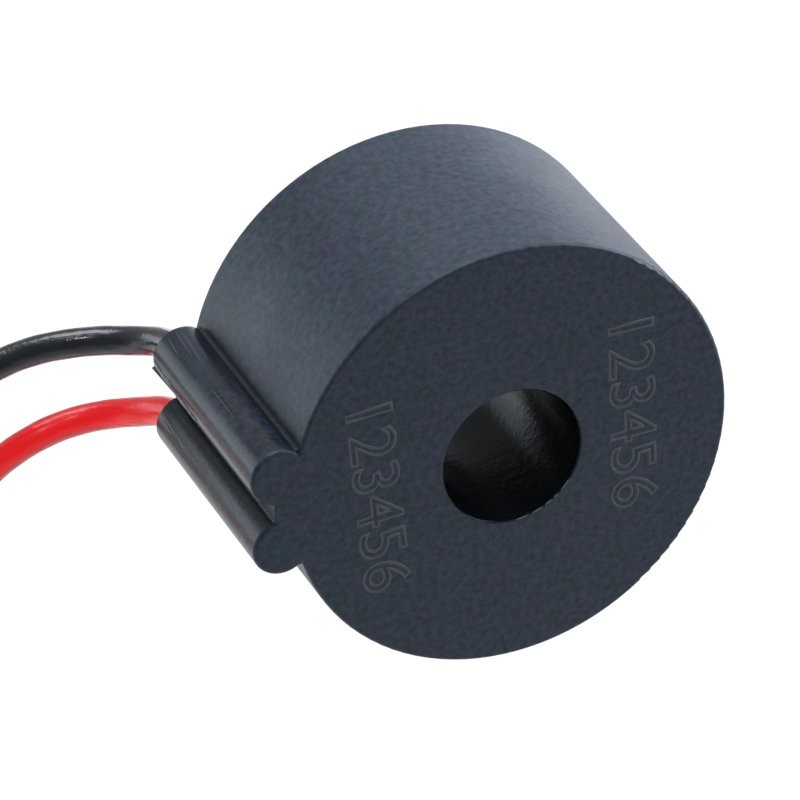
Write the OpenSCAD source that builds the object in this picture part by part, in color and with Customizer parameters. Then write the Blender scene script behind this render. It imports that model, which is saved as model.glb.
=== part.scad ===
// Window-type current transformer with two flying leads.
//
// The measured conductor passes through the window, which runs along Y. The flat front
// face looks along -Y and the potted open end along +Y. The two rounded ribs that hold
// the leads lie side by side on the -X side, one above the other. The origin is on the
// window's axis, midway between the two ends. The case is sized from what it holds:
// outwards from the window, through the wound core, to the outer wall.

/* [Case] */
// Diameter of the window that the measured conductor passes through
bore_d = 6.3; // [5:0.1:12]
// Thickness of the outer wall
wall = 0.9; // [0.7:0.05:1.1]
// Thickness of the front wall
front_wall = 1; // [0.8:0.1:1.5]
// Thickness of the tube round the window
tube_wall = 0.7; // [0.5:0.05:0.9]
// Radius of the case's front edge
front_edge_r = 0.15; // [0.1:0.05:0.45]
// Radius of the window's front mouth
mouth_edge_r = 0.1; // [0.05:0.05:0.35]
// Radius of the edges round the open rear end
rear_edge_r = 0.12; // [0.06:0.02:0.2]

/* [Lead ribs] */
// Diameter of each rounded rib that holds a lead
rib_d = 2.6; // [2.4:0.1:3]
// Distance between the centres of the two ribs
rib_pitch = 3.4; // [3.1:0.1:4.2]
// Distance from the round case out to each rib's centre, measured square to the pair
rib_out = 0.5; // [0.3:0.1:0.8]
// Radius of each rib's front edge
rib_edge_r = 0.15; // [0.1:0.05:0.35]
// Height of the web between the ribs, above the round case
web_out = 0.8; // [0.6:0.05:1.2]
// Distance from the case's rear rim to the ribs' rear ends
rib_back = 0.4; // [0.2:0.05:0.6]
// Diameter of the channel that runs along inside each rib
channel_d = 1.5; // [1.4:0.05:1.7]
// Thickness left at the front of each channel
channel_end = 1.2; // [0.8:0.1:2]
// Width of the slot that joins each channel to the inside of the case
slot_w = 0.9; // [0.75:0.05:1.1]
// Diameter of the fine mould line that runs along the foot of each rib
mould_line_d = 0.12; // [0.11:0.01:0.2]
// Distance from each rib's foot out to the middle of its mould line
mould_line_out = 0.09; // [0.06:0.01:0.1]

/* [Flash] */
// Length of the torn fin of flash on the upper rib, from the plane of the rear rim
flash_len = 3; // [1.5:0.1:4]
// Thickness of the fin of flash
flash_t = 0.12; // [0.08:0.02:0.2]
// How far the fin of flash stands proud of the rib
flash_out = 0.1; // [0.06:0.02:0.2]
// Turn of the fin round the rib, from straight out towards the other rib
flash_turn = 30; // [20:1:45]

/* [Potting] */
// Depth of the potting's surface below the ribs' rear ends, where it meets the walls
potting_recess = 0.15; // [0.1:0.05:0.4]
// Extra depth of the potting's surface midway between the walls
potting_sag = 0.2; // [0.1:0.05:0.4]
// Cover of potting over the back of the wrapped winding
potting_cover = 0.8; // [0.6:0.1:1.6]
// Potting between the window tube and the wrapped winding
inner_gap = 0.2; // [0.1:0.05:0.35]
// Potting between the front wall and the wrapped winding
front_gap = 0.35; // [0.2:0.05:0.8]
// Space between the wrapped winding and the outer wall, for the joints
joint_room = 1.05; // [1:0.05:1.2]
// Shrinkage gap round everything that the potting surrounds
shrink = 0.01; // [0.01:0.01:0.03]

/* [Winding and core] */
// Width of the core's section, between its hole and its outside
core_w = 1.5; // [1.2:0.1:4]
// Height of the core's section, along the window
core_h = 5.8; // [5.2:0.1:10]
// Radius of the core's edges
core_edge_r = 0.08; // [0.04:0.02:0.2]
// Thickness of the insulating tape over the winding
tape_t = 0.1; // [0.05:0.01:0.15]
// Thickness of the winding inside its hole
winding_in = 0.8; // [0.6:0.05:1.2]
// Thickness of the winding round its outside
winding_out = 0.5; // [0.4:0.05:0.8]
// Thickness of the winding over its two faces
winding_face = 0.65; // [0.5:0.05:0.9]
// Radius of the wrapped winding's rounded corners
wrap_edge_r = 1.1; // [0.8:0.05:1.3]
// Angle left bare between the start and the finish of the winding
winding_gap = 10; // [6:1:14]
// Thickness of the core box's walls
box_wall = 0.4; // [0.3:0.05:0.6]
// Radius of the core box's edges
box_edge_r = 0.25; // [0.1:0.05:0.3]
// Clearance between pieces that lie against each other
fit = 0.02; // [0.01:0.01:0.04]
// Play of the core in its box
core_play = 0.06; // [0.03:0.01:0.1]
// Depth that the box's lid reaches down between the walls
lid_plug = 0.3; // [0.2:0.05:0.5]
// Diameter of the winding's two twisted tails
tail_d = 0.25; // [0.15:0.05:0.35]
// Diameter of the tape's holes for the tails
tail_hole_d = 0.45; // [0.4:0.05:0.6]

/* [Joints] */
// Diameter of each soldered joint
joint_d = 0.64; // [0.56:0.02:0.66]
// Length of each soldered joint
joint_len = 1.8; // [1.4:0.1:2.4]
// Depth that the wires reach into a joint from each end
joint_depth = 0.6; // [0.4:0.05:0.65]
// Outside diameter of the sleeve over each joint
sleeve_d = 0.94; // [0.88:0.02:0.96]
// Inside diameter of the sleeve over each joint
sleeve_bore_d = 0.7; // [0.68:0.02:0.76]
// How far each sleeve reaches past both ends of its joint
sleeve_over = 0.2; // [0.1:0.05:0.3]
// Clearance between a sleeve's end and the wire's bend beyond it
sleeve_clear = 0.06; // [0.04:0.02:0.12]

/* [Leads] */
// Diameter of each insulated lead
lead_d = 1.3; // [1.1:0.05:1.35]
// Diameter of each lead's bare stranded conductor
strand_d = 0.48; // [0.4:0.02:0.54]
// Length of insulated lead held inside each channel
lead_in = 6.2; // [4:0.2:7]
// Length of bare conductor in each channel, from the insulation to its bend
strip_in = 1.75; // [1.2:0.05:2]
// Length of the stripped and tinned far end of each lead
tip_len = 5; // [3:0.5:8]
// Number of sides of each lead's solid
lead_sides = 8; // [8:1:12]

/* [Hidden] */
$fn = 72;

// Each lead's route, as steps from the middle line of its rib where that meets the plane
// of the rear rim: +X, +Y and +Z as for the whole part. The first point is the
// insulation's inner end.
black_route = [
    [0, -lead_in, 0], [0, -3, 0], [0, -0.2, 0], [-0.2, 1.4, -0.4], [-0.9, 2.8, -0.9],
    [-2, 3.7, -1.1], [-3.7, 4.3, -1.2], [-5.4, 4.9, -1.6], [-7.5, 5.2, -2.4],
    [-9.5, 5.4, -3.6], [-11.4, 5.6, -5.3], [-13, 5.8, -7.6], [-14, 5.9, -10.3],
    [-14.5, 6, -13.2], [-14.6, 6, -16.2], [-14.6, 6, -19.2], [-14.6, 6, -22.4],
    [-14.6, 6, -25.6], [-14.6, 6, -28.8], [-14.6, 6, -32], [-14.6, 6, -35.2],
    [-14.6, 6, -38.2], [-14.6, 6, -41.2], [-14.6, 6, -44.1]
];
red_route = [
    [0, -lead_in, 0], [0, -3, 0], [0, -0.2, 0], [-0.3, 1.3, -0.4], [-0.9, 2.6, -1],
    [-1.6, 3.5, -1.4], [-3.1, 4.3, -1.8], [-5.1, 4.4, -2.2], [-6.9, 4.6, -3.2],
    [-8.5, 4.9, -4.9], [-9.7, 5.1, -7.1], [-10.6, 5.3, -9.6], [-11.1, 5.4, -12.4],
    [-11.3, 5.4, -15.4], [-11.3, 5.4, -18.6], [-11.3, 5.4, -21.8], [-11.3, 5.4, -25],
    [-11.3, 5.4, -28.2], [-11.3, 5.4, -31.4], [-11.3, 5.4, -34.6], [-11.3, 5.4, -37.8],
    [-11.3, 5.4, -40.8], [-11.3, 5.4, -43.8], [-11.3, 5.4, -46.9]
];

// How far a cut runs on past the face that it opens
past = 1;

// What lies between the core and the wrapped winding's surface, inwards, outwards and
// at each end
wound_by = tape_t + 2 * fit + box_wall + core_play;
in_cover = wound_by + winding_in;
out_cover = wound_by + winding_out;
end_cover = wound_by + winding_face;

// The case's thickness, added up from its front face to its rear rim
case_t = front_wall + front_gap + end_cover + core_h + lid_plug + end_cover
         + potting_cover + potting_sag + potting_recess + rib_back;

// Radii from the window's axis, added up from the window to the outer wall
tube_r = bore_d / 2 + tube_wall;
wrap_in_r = tube_r + inner_gap;
wrap_out_r = wrap_in_r + in_cover + core_w + out_cover;
cavity_r = wrap_out_r + joint_room;
case_r = cavity_r + wall;
web_r = case_r + web_out;
rib_r = rib_d / 2;

// Places along the window's axis, in the frame of the modules inside lying_down():
// the front face is at the top and the open rear end at the bottom.
front_z = case_t / 2;
rear_z = -case_t / 2;
floor_z = front_z - front_wall;
rib_z = rear_z + rib_back;
potting_z = rib_z + potting_recess;
insulation_z = rear_z + lead_in;
bend_z = insulation_z + strip_in;

// Each rib's centre, its distance from the window's axis and its angle from -X
rib_x = case_r + rib_out;
rib_centre_r = norm([rib_x, rib_pitch / 2]);
rib_angle = atan2(rib_pitch / 2, rib_x);

// Place round the case where a rib's round flank meets it, and the opening of that corner
foot_turn = acos((pow(case_r, 2) + pow(rib_centre_r, 2) - pow(rib_r, 2)) / (2 * case_r * rib_centre_r));
foot_angle = rib_angle + foot_turn;
foot_opening = asin(rib_centre_r * sin(foot_turn) / rib_r);

// The wrapped winding is a ring of rounded section. Each layer lies inside the last.
wrap = [wrap_in_r, wrap_out_r, potting_z + potting_sag + potting_cover, floor_z - front_gap];
tape_inside = layer(wrap, [tape_t, tape_t, tape_t]);
winding_outside = layer(tape_inside, [fit, fit, fit]);
winding_inside = layer(winding_outside, [winding_in, winding_out, winding_face]);
box_outside = layer(winding_inside, [fit, fit, fit]);
box_inside = layer(box_outside, [box_wall, box_wall, box_wall]);
core_section = layer(box_inside, [core_play, core_play, core_play]);

// Joints stand in the space between the wrap and the outer wall
joint_r = cavity_r - joint_room / 2;
joint_top = bend_z - strand_d / 2 - sleeve_clear - sleeve_over;
joint_foot = joint_top - joint_len;
tail_z = joint_foot - sleeve_over - sleeve_clear - tail_d / 2;

// A ring's section [inner radius, outer radius, rear, front] taken in on all four sides:
// by the first value inside its hole, the second round it and the third at both ends.
function layer(s, by) = [s[0] + by[0], s[1] - by[1], s[2] + by[2], s[3] - by[2]];

function unit(v) = v / norm(v);

// Direction of a route at each of its points, from the point before to the point after
function ways(p) = [for (i = [0:len(p) - 1]) unit(p[min(i + 1, len(p) - 1)] - p[max(i - 1, 0)])];

// One sideways direction at each point, carried along the route without twist
function sides(w) = [
    for (i = 0, n = unit(cross([0, 0, 1], w[0])); i < len(w);
         i = i + 1, n = unit(n - (n * w[min(i, len(w) - 1)]) * w[min(i, len(w) - 1)])) n
];

// Turns the case's own frame, front face up, to the part's frame, front face along -Y
module lying_down() {
    rotate([90, 0, 0]) children();
}

// Puts children on the middle line of one lead: +X runs out from the window's axis.
// side is 1 for the upper, black lead and -1 for the lower, red lead.
module at_lead(side) {
    rotate([0, 0, 180 - side * rib_angle]) children();
}

// Removes a square corner at the origin, its material towards +x and +y, to radius r
module corner_cut(r) {
    difference() {
        translate([-past, -past]) square(r + past);
        translate([r, r]) circle(r);
    }
}

// A rectangle from x0,y0 to x1,y1 whose four corners are rounded to r
module rounded_rect(x0, x1, y0, y1, r) {
    translate([x0 + r, y0]) square([x1 - x0 - 2 * r, y1 - y0]);
    translate([x0, y0 + r]) square([x1 - x0, y1 - y0 - 2 * r]);
    for (x = [x0 + r, x1 - r], y = [y0 + r, y1 - r]) translate([x, y]) circle(r);
}

// The section of one ring of the wrapped winding
module ring_section(s, r) {
    rounded_rect(s[0], s[1], s[2], s[3], r);
}

// A rod along z, from z0 up to z1, at distance x out from the window's axis
module rod(x, z0, z1, d) {
    translate([x, 0, z0]) cylinder(h = z1 - z0, d = d);
}

// A rod that points outwards, from x0 to x1, at height z
module spoke(x0, x1, z, d) {
    translate([x0, 0, z]) rotate([0, 90, 0]) cylinder(h = x1 - x0, d = d);
}

// Half of the case's section, with the cavity for the winding left solid
module case_section() {
    difference() {
        translate([bore_d / 2, rear_z]) square([case_r - bore_d / 2, case_t]);
        translate([case_r, front_z]) mirror([1, 0]) mirror([0, 1]) corner_cut(front_edge_r);
        translate([bore_d / 2, front_z]) mirror([0, 1]) corner_cut(mouth_edge_r);
        translate([case_r, rear_z]) mirror([1, 0]) corner_cut(rear_edge_r);
        translate([bore_d / 2, rear_z]) corner_cut(rear_edge_r);
    }
}

// One rib, its front edge rounded, round its own middle line
module rib() {
    rotate_extrude() difference() {
        translate([0, rib_z]) square([rib_r, front_z - rib_z]);
        translate([rib_r, front_z]) mirror([1, 0]) mirror([0, 1]) corner_cut(rib_edge_r);
    }
}

// The web that joins the two ribs, its outer face concentric with the case and its front
// flush with the front face
module web() {
    translate([0, 0, rib_z]) linear_extrude(front_z - rib_z) intersection() {
        circle(web_r);
        translate([-rib_x - rib_r, -rib_pitch / 2]) square([rib_r + rib_out + wall, rib_pitch]);
    }
}

// The fine raised line that the mould's split leaves along the foot of a rib
module mould_line(side) {
    rotate([0, 0, 180 - side * foot_angle]) translate([case_r, 0, 0])
        rotate([0, 0, -side * (90 - foot_opening / 2)])
            rod(mould_line_out, rib_z, front_z - front_edge_r, mould_line_d);
}

// The torn fin of flash on the upper rib
module flash() {
    translate([-rib_x, rib_pitch / 2, rear_z]) rotate([0, 0, 180 + flash_turn])
        rotate([90, 0, 0]) translate([0, 0, -flash_t / 2]) linear_extrude(flash_t)
            polygon([[rib_r - wall / 2, 0], [rib_r + flash_out, 0],
                     [rib_r, flash_len], [rib_r - wall / 2, flash_len]]);
}

// The space inside the case for one lead: its channel and the slot that opens inwards
module lead_space(side, narrower) {
    at_lead(side) {
        rod(rib_centre_r, rear_z - past, front_z - channel_end, channel_d - 2 * narrower);
        translate([wrap_in_r, -slot_w / 2 + narrower, rear_z - past])
            cube([rib_centre_r - wrap_in_r, slot_w - 2 * narrower,
                  front_z - channel_end - rear_z + past - narrower]);
    }
}

// Moulded cup: round wall, window tube, front wall, and the two ribs with their web
module case() {
    color("#2b333c") lying_down() difference() {
        union() {
            rotate_extrude() case_section();
            for (side = [-1, 1]) {
                translate([-rib_x, side * rib_pitch / 2, 0]) rib();
                mould_line(side);
            }
            web();
            flash();
        }
        rotate_extrude()
            translate([tube_r, rear_z - past]) square([cavity_r - tube_r, floor_z - rear_z + past]);
        for (side = [-1, 1]) lead_space(side, 0);
        cylinder(h = case_t + 2 * past, d = bore_d, center = true);
    }
}

// The stranded copper of one lead inside the case: along the channel, in through the
// slot, and back down into the joint
module conductor(side, grow = 0) {
    d = strand_d + 2 * grow;
    at_lead(side) {
        rod(rib_centre_r, insulation_z - grow, bend_z, d);
        translate([rib_centre_r, 0, bend_z]) sphere(d = d);
        spoke(joint_r, rib_centre_r, bend_z, d);
        translate([joint_r, 0, bend_z]) sphere(d = d);
        rod(joint_r, joint_top - joint_depth - grow, bend_z, d);
    }
}

// One tail of the winding: out from the wound turns, then up into the joint
module tail(side, grow = 0) {
    d = tail_d + 2 * grow;
    at_lead(side) {
        spoke(winding_outside[1] - winding_out / 2, joint_r, tail_z, d);
        translate([joint_r, 0, tail_z]) sphere(d = d);
        rod(joint_r, tail_z, joint_foot + joint_depth + grow, d);
    }
}

// The bead of solder over the meeting of a conductor and a tail, still without its wires
module bead(side) {
    at_lead(side) {
        rod(joint_r, joint_foot + joint_d / 2, joint_top - joint_d / 2, joint_d);
        for (z = [joint_foot + joint_d / 2, joint_top - joint_d / 2])
            translate([joint_r, 0, z]) sphere(d = joint_d);
    }
}

// A rod of a sleeve's length over its joint, made longer at both ends
module sleeve_rod(side, d, longer) {
    reach = sleeve_over + longer;
    at_lead(side) rod(joint_r, joint_foot - reach, joint_top + reach, d);
}

// Epoxy that fills the case from behind, round everything in it, with a sagging surface
module potting() {
    sag_chord = (cavity_r - tube_r) / 2;
    sag_r = (pow(sag_chord, 2) + pow(potting_sag, 2)) / (2 * potting_sag);
    color("#16191c") lying_down() difference() {
        union() {
            rotate_extrude() difference() {
                translate([tube_r + shrink, potting_z])
                    square([cavity_r - tube_r - 2 * shrink, floor_z - shrink - potting_z]);
                translate([(cavity_r + tube_r) / 2, potting_z + potting_sag - sag_r])
                    circle(sag_r, $fn = 4 * $fn);
            }
            intersection() {
                for (side = [-1, 1]) lead_space(side, shrink);
                difference() {
                    translate([-rib_x - rib_r, -rib_pitch, potting_z])
                        cube([2 * rib_r + wall, 2 * rib_pitch, case_t]);
                    translate([0, 0, -case_t]) cylinder(h = 2 * case_t, r = cavity_r - 2 * shrink);
                }
            }
        }
        rotate_extrude() ring_section(layer(wrap, [-shrink, -shrink, -shrink]), wrap_edge_r);
        for (side = [-1, 1]) {
            at_lead(side) rod(rib_centre_r, rear_z - past, insulation_z + shrink, lead_d + 2 * shrink);
            conductor(side, shrink);
            tail(side, shrink);
            sleeve_rod(side, sleeve_d + 2 * shrink, shrink);
        }
    }
}

// Polyester tape wrapped all over the winding, with a hole for each tail
module winding_tape() {
    color("#d9b23a") lying_down() difference() {
        rotate_extrude() difference() {
            ring_section(wrap, wrap_edge_r);
            ring_section(tape_inside, wrap_edge_r - tape_t);
        }
        for (side = [-1, 1])
            at_lead(side) spoke(winding_outside[1] - winding_out / 2, case_r, tail_z, tail_hole_d);
    }
}

// All the turns of enamelled copper as one solid, open between start and finish, with
// the twisted tail at each end
module winding() {
    color("#a4552a") lying_down() {
        rotate([0, 0, 180 + winding_gap / 2]) rotate_extrude(angle = 360 - winding_gap)
            difference() {
                ring_section(winding_outside, wrap_edge_r - tape_t - fit);
                ring_section(winding_inside, box_edge_r);
            }
        for (side = [-1, 1]) tail(side);
    }
}

// Channel-shaped ring that holds the core
module core_box_base() {
    color("#e6e2d6") lying_down() rotate_extrude() difference() {
        ring_section(box_outside, box_edge_r);
        translate([box_inside[0], box_inside[2] - box_wall - past])
            square([box_inside[1] - box_inside[0], box_inside[3] - box_inside[2] + box_wall + past]);
        translate([0, box_outside[2] - past])
            square([case_r, box_wall + past]);
    }
}

// Ring that closes the core box at the back, with a plug that sits between its walls
module core_box_lid() {
    color("#e6e2d6") lying_down() rotate_extrude() {
        intersection() {
            ring_section(box_outside, box_edge_r);
            translate([0, box_outside[2]]) square([case_r, box_wall - fit]);
        }
        translate([box_inside[0] + fit, box_outside[2] + box_edge_r])
            square([box_inside[1] - box_inside[0] - 2 * fit, box_wall - box_edge_r + lid_plug]);
    }
}

// Ring of wound magnetic strip
module core() {
    section = [core_section[0], core_section[1], core_section[2] + lid_plug, core_section[3]];
    color("#8b9096") lying_down() rotate_extrude() ring_section(section, core_edge_r);
}

// A round tube swept along a route, its ends square to the route
module swept_tube(route, d) {
    w = ways(route);
    n = sides(w);
    k = lead_sides;
    last = len(route) - 1;
    ring_points = [
        for (i = [0:last], j = [0:k - 1])
            route[i] + d / 2 * (cos(360 * j / k) * n[i] + sin(360 * j / k) * cross(w[i], n[i]))
    ];
    walls = [
        for (i = [0:last - 1], j = [0:k - 1])
            [i * k + j, (i + 1) * k + j, (i + 1) * k + (j + 1) % k, i * k + (j + 1) % k]
    ];
    near_end = [for (j = [0:k - 1]) j];
    far_end = [for (j = [0:k - 1]) last * k + k - 1 - j];
    polyhedron(points = ring_points, faces = concat([near_end], walls, [far_end]));
}

// Puts children where one rib's middle line meets the plane of the rear rim, in the
// part's own frame
module at_exit(side) {
    translate([-rib_x, case_t / 2, side * rib_pitch / 2]) children();
}

// The tinned strands beyond the end of a lead that hangs straight down
module lead_tip(side, route) {
    end = route[len(route) - 1];
    at_exit(side) translate(end - [0, 0, tip_len]) {
        translate([0, 0, strand_d / 2]) cylinder(h = tip_len - strand_d / 2, d = strand_d);
        translate([0, 0, strand_d / 2]) sphere(d = strand_d);
    }
}

// Insulated leads
module black_lead() {
    color("#14161a") at_exit(1) swept_tube(black_route, lead_d);
}

module red_lead() {
    color("#e0202c") at_exit(-1) swept_tube(red_route, lead_d);
}

// Stripped and tinned far ends
module black_lead_tip() {
    color("#c9ccd0") lead_tip(1, black_route);
}

module red_lead_tip() {
    color("#c9ccd0") lead_tip(-1, red_route);
}

// Stripped conductors inside the case
module black_inner_end() {
    color("#b8703c") lying_down() conductor(1);
}

module red_inner_end() {
    color("#b8703c") lying_down() conductor(-1);
}

// Soldered joints
module joint(side) {
    color("#b9bcc2") lying_down() difference() {
        bead(side);
        conductor(side);
        tail(side);
    }
}

module black_joint() {
    joint(1);
}

module red_joint() {
    joint(-1);
}

// Sleeves over the joints
module sleeve(side, tint) {
    color(tint) lying_down() difference() {
        sleeve_rod(side, sleeve_d, 0);
        sleeve_rod(side, sleeve_bore_d, past);
    }
}

module black_sleeve() {
    sleeve(1, "#202226");
}

module red_sleeve() {
    sleeve(-1, "#b3202a");
}

case();
potting();
winding_tape();
winding();
core_box_base();
core_box_lid();
core();
black_lead();
red_lead();
black_lead_tip();
red_lead_tip();
black_inner_end();
red_inner_end();
black_joint();
red_joint();
black_sleeve();
red_sleeve();
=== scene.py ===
# %% [markdown]
# # A window-type current transformer
#
# This part measures the current in a conductor that passes through its window. A ring
# core carries a fine winding, both are potted in a black moulded case, and the winding's
# two ends come out as a black and a red lead. The solids arrive ready made from the
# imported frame. These cells add what the eye looks for: finishes, real leads, stripped
# strands, traces of moulding, and a plain studio.

# %% Load the frame and keep its box
import math
import bpy
import numpy as np
from mathutils import Matrix, Vector


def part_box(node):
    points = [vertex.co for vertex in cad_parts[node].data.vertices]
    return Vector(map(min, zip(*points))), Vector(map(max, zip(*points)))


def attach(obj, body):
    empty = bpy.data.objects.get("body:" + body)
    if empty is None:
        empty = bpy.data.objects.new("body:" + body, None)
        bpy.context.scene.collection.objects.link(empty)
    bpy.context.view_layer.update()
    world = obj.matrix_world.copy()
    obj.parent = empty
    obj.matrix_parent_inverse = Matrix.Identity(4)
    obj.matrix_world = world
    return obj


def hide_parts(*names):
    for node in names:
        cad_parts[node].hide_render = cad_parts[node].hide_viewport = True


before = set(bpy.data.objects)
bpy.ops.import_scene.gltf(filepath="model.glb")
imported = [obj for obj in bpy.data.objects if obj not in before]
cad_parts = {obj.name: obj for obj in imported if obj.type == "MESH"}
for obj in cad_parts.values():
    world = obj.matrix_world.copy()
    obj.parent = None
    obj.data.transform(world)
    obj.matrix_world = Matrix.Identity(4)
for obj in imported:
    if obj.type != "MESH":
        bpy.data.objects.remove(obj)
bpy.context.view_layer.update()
MM = 0.001

# %% [markdown]
# ## The camera
#
# A long lens from a little above and to the left of the front face keeps the round case
# almost free of perspective. A camera looks along its own -Z, so three unit vectors
# (right, up, and back towards the camera) are all that its rotation needs.

# %% Place the camera
CAMERA_RIGHT = Vector((0.91676686, -0.39906916, -0.01680251))
CAMERA_UP = Vector((0.22254208, 0.47540035, 0.85115776))
CAMERA_BACK = Vector((-0.33168289, -0.78405249, 0.52464097))
CAMERA_PLACE = Vector((-80.281, -183.514, 123.066)) * MM
LENS_MM = 246.73
SENSOR_MM = 36
NEAREST = 1 * MM
FARTHEST = 20

lens = bpy.data.cameras.new("camera")
lens.lens = LENS_MM
lens.sensor_width = SENSOR_MM
lens.clip_start = NEAREST
lens.clip_end = FARTHEST
camera = bpy.data.objects.new("camera", lens)
turn = Matrix((CAMERA_RIGHT, CAMERA_UP, CAMERA_BACK)).transposed().to_4x4()
camera.matrix_world = Matrix.Translation(CAMERA_PLACE) @ turn
bpy.context.scene.collection.objects.link(camera)
bpy.context.scene.camera = camera
bpy.context.scene.view_settings.view_transform = "Standard"
print("camera is", round(CAMERA_PLACE.length / MM), "mm from the window's middle")

# %% [markdown]
# ## From a grid of points to a mesh
#
# Most pieces here are one surface: rings of points along a path. If every ring has the
# same number of points, the faces are a regular grid, so numpy can write all of them at
# once. The two end rings are closed with a fan to a middle point, which makes a solid.

# %% A helper that turns rings of points into a closed piece
def ring_faces(rings, around, looped):
    """Quads between neighbouring rings: corner (i, j), then (i, j+1), (i+1, j+1) and
    (i+1, j), with j counted round so that the last column meets the first. In a looped
    surface i is counted round as well."""
    i, j = np.meshgrid(np.arange(rings if looped else rings - 1), np.arange(around), indexing="ij")
    k, n = (j + 1) % around, (i + 1) % rings
    quads = np.stack([i * around + j, i * around + k, n * around + k, n * around + j], -1)
    return quads.reshape(-1, 4)


def seated(name, mesh):
    """The object that holds a finished mesh, riding on the body."""
    piece = bpy.data.objects.new(name, mesh)
    bpy.context.scene.collection.objects.link(piece)
    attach(piece, "root")
    print(f"{name}: {len(mesh.vertices)} points, {len(mesh.polygons)} faces")
    return piece


def closed_piece(name, rings_list, smooth_angle=40, looped=False):
    """One object from several stacks of rings, each an array (rings, around, 3) in metres.
    A looped stack closes on itself like a doughnut. Any other is closed at both ends by
    triangles that meet at the end ring's mean point."""
    points, quads, fans, start = [], [], [], 0
    for rings in rings_list:
        count, around = rings.shape[:2]
        flat = rings.reshape(-1, 3)
        quads.append(ring_faces(count, around, looped) + start)
        if looped:
            points.append(flat)
            start += len(flat)
            continue
        middles = rings[[0, -1]].mean(1)
        points += [flat, middles]
        j = np.arange(around)
        k = (j + 1) % around
        first, last = start + len(flat), start + len(flat) + 1
        fans.append(np.stack([start + k, start + j, np.full(around, first)], -1))
        top = start + (count - 1) * around
        fans.append(np.stack([top + j, top + k, np.full(around, last)], -1))
        start += len(flat) + 2
    faces = [f for block in quads + fans for f in block.tolist()]
    mesh = bpy.data.meshes.new(name)
    mesh.from_pydata(np.concatenate(points).tolist(), [], faces)
    mesh.update()
    mesh.set_sharp_from_angle(angle=math.radians(smooth_angle))
    return seated(name, mesh)

# %% [markdown]
# ## Where the ribs are
#
# Two hollow ribs run along the case's left side, and a lead leaves each of them at the
# rear. The leads, the traces of moulding and the case's finish all need the same few
# lengths, so they are written once, in millimetres.

# %% Places that several cells share
FACE_Y = -5.75
REAR_Y = 5.75
RIB_X = -10.5
RIB_Z = 1.7
RIB_RADIUS = 1.3
RIB_END = {"black": Vector((RIB_X, REAR_Y, RIB_Z)), "red": Vector((RIB_X, REAR_Y, -RIB_Z))}
case_low, case_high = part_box("case")
print("the frame's case runs from Y", round(case_low[1] / MM, 2), "to", round(case_high[1] / MM, 2))

# %% [markdown]
# ## Where the leads run
#
# Each lead is a fixed length of thin stranded wire. It starts in the potting, leaves its
# rib straight, bends away under its own weight and hangs. A simulation could drop it, but
# a written route keeps the wire's exact length. A few points set the route, and a smooth
# curve goes through all of them. The points are steps in millimetres from where each
# rib's middle line meets the plane of the rear rim, the same ones that the solids follow.

# %% The two routes
ROUTES = {
    "black": [
        (0, -6.2, 0), (0, -3, 0), (0, -0.2, 0), (-0.2, 1.4, -0.4), (-0.9, 2.8, -0.9),
        (-2, 3.7, -1.1), (-3.7, 4.3, -1.2), (-5.4, 4.9, -1.6), (-7.5, 5.2, -2.4),
        (-9.5, 5.4, -3.6), (-11.4, 5.6, -5.3), (-13, 5.8, -7.6), (-14, 5.9, -10.3),
        (-14.5, 6, -13.2), (-14.6, 6, -16.2), (-14.6, 6, -19.2), (-14.6, 6, -22.4),
        (-14.6, 6, -25.6), (-14.6, 6, -28.8), (-14.6, 6, -32), (-14.6, 6, -35.2),
        (-14.6, 6, -38.2), (-14.6, 6, -41.2), (-14.6, 6, -44.1),
    ],
    "red": [
        (0, -6.2, 0), (0, -3, 0), (0, -0.2, 0), (-0.3, 1.3, -0.4), (-0.9, 2.6, -1),
        (-1.6, 3.5, -1.4), (-3.1, 4.3, -1.8), (-5.1, 4.4, -2.2), (-6.9, 4.6, -3.2),
        (-8.5, 4.9, -4.9), (-9.7, 5.1, -7.1), (-10.6, 5.3, -9.6), (-11.1, 5.4, -12.4),
        (-11.3, 5.4, -15.4), (-11.3, 5.4, -18.6), (-11.3, 5.4, -21.8), (-11.3, 5.4, -25),
        (-11.3, 5.4, -28.2), (-11.3, 5.4, -31.4), (-11.3, 5.4, -34.6), (-11.3, 5.4, -37.8),
        (-11.3, 5.4, -40.8), (-11.3, 5.4, -43.8), (-11.3, 5.4, -46.9),
    ],
}
print("points on the routes:", {color: len(steps) for color, steps in ROUTES.items()})

# %% A smooth curve through each route
STEP = 0.2 * MM
FINE_POINTS = 4000


def run_along(path):
    """The distance travelled at each point: the sum of all steps before it."""
    return np.concatenate([[0], np.cumsum(np.linalg.norm(np.diff(path, axis=0), axis=1))])


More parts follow.
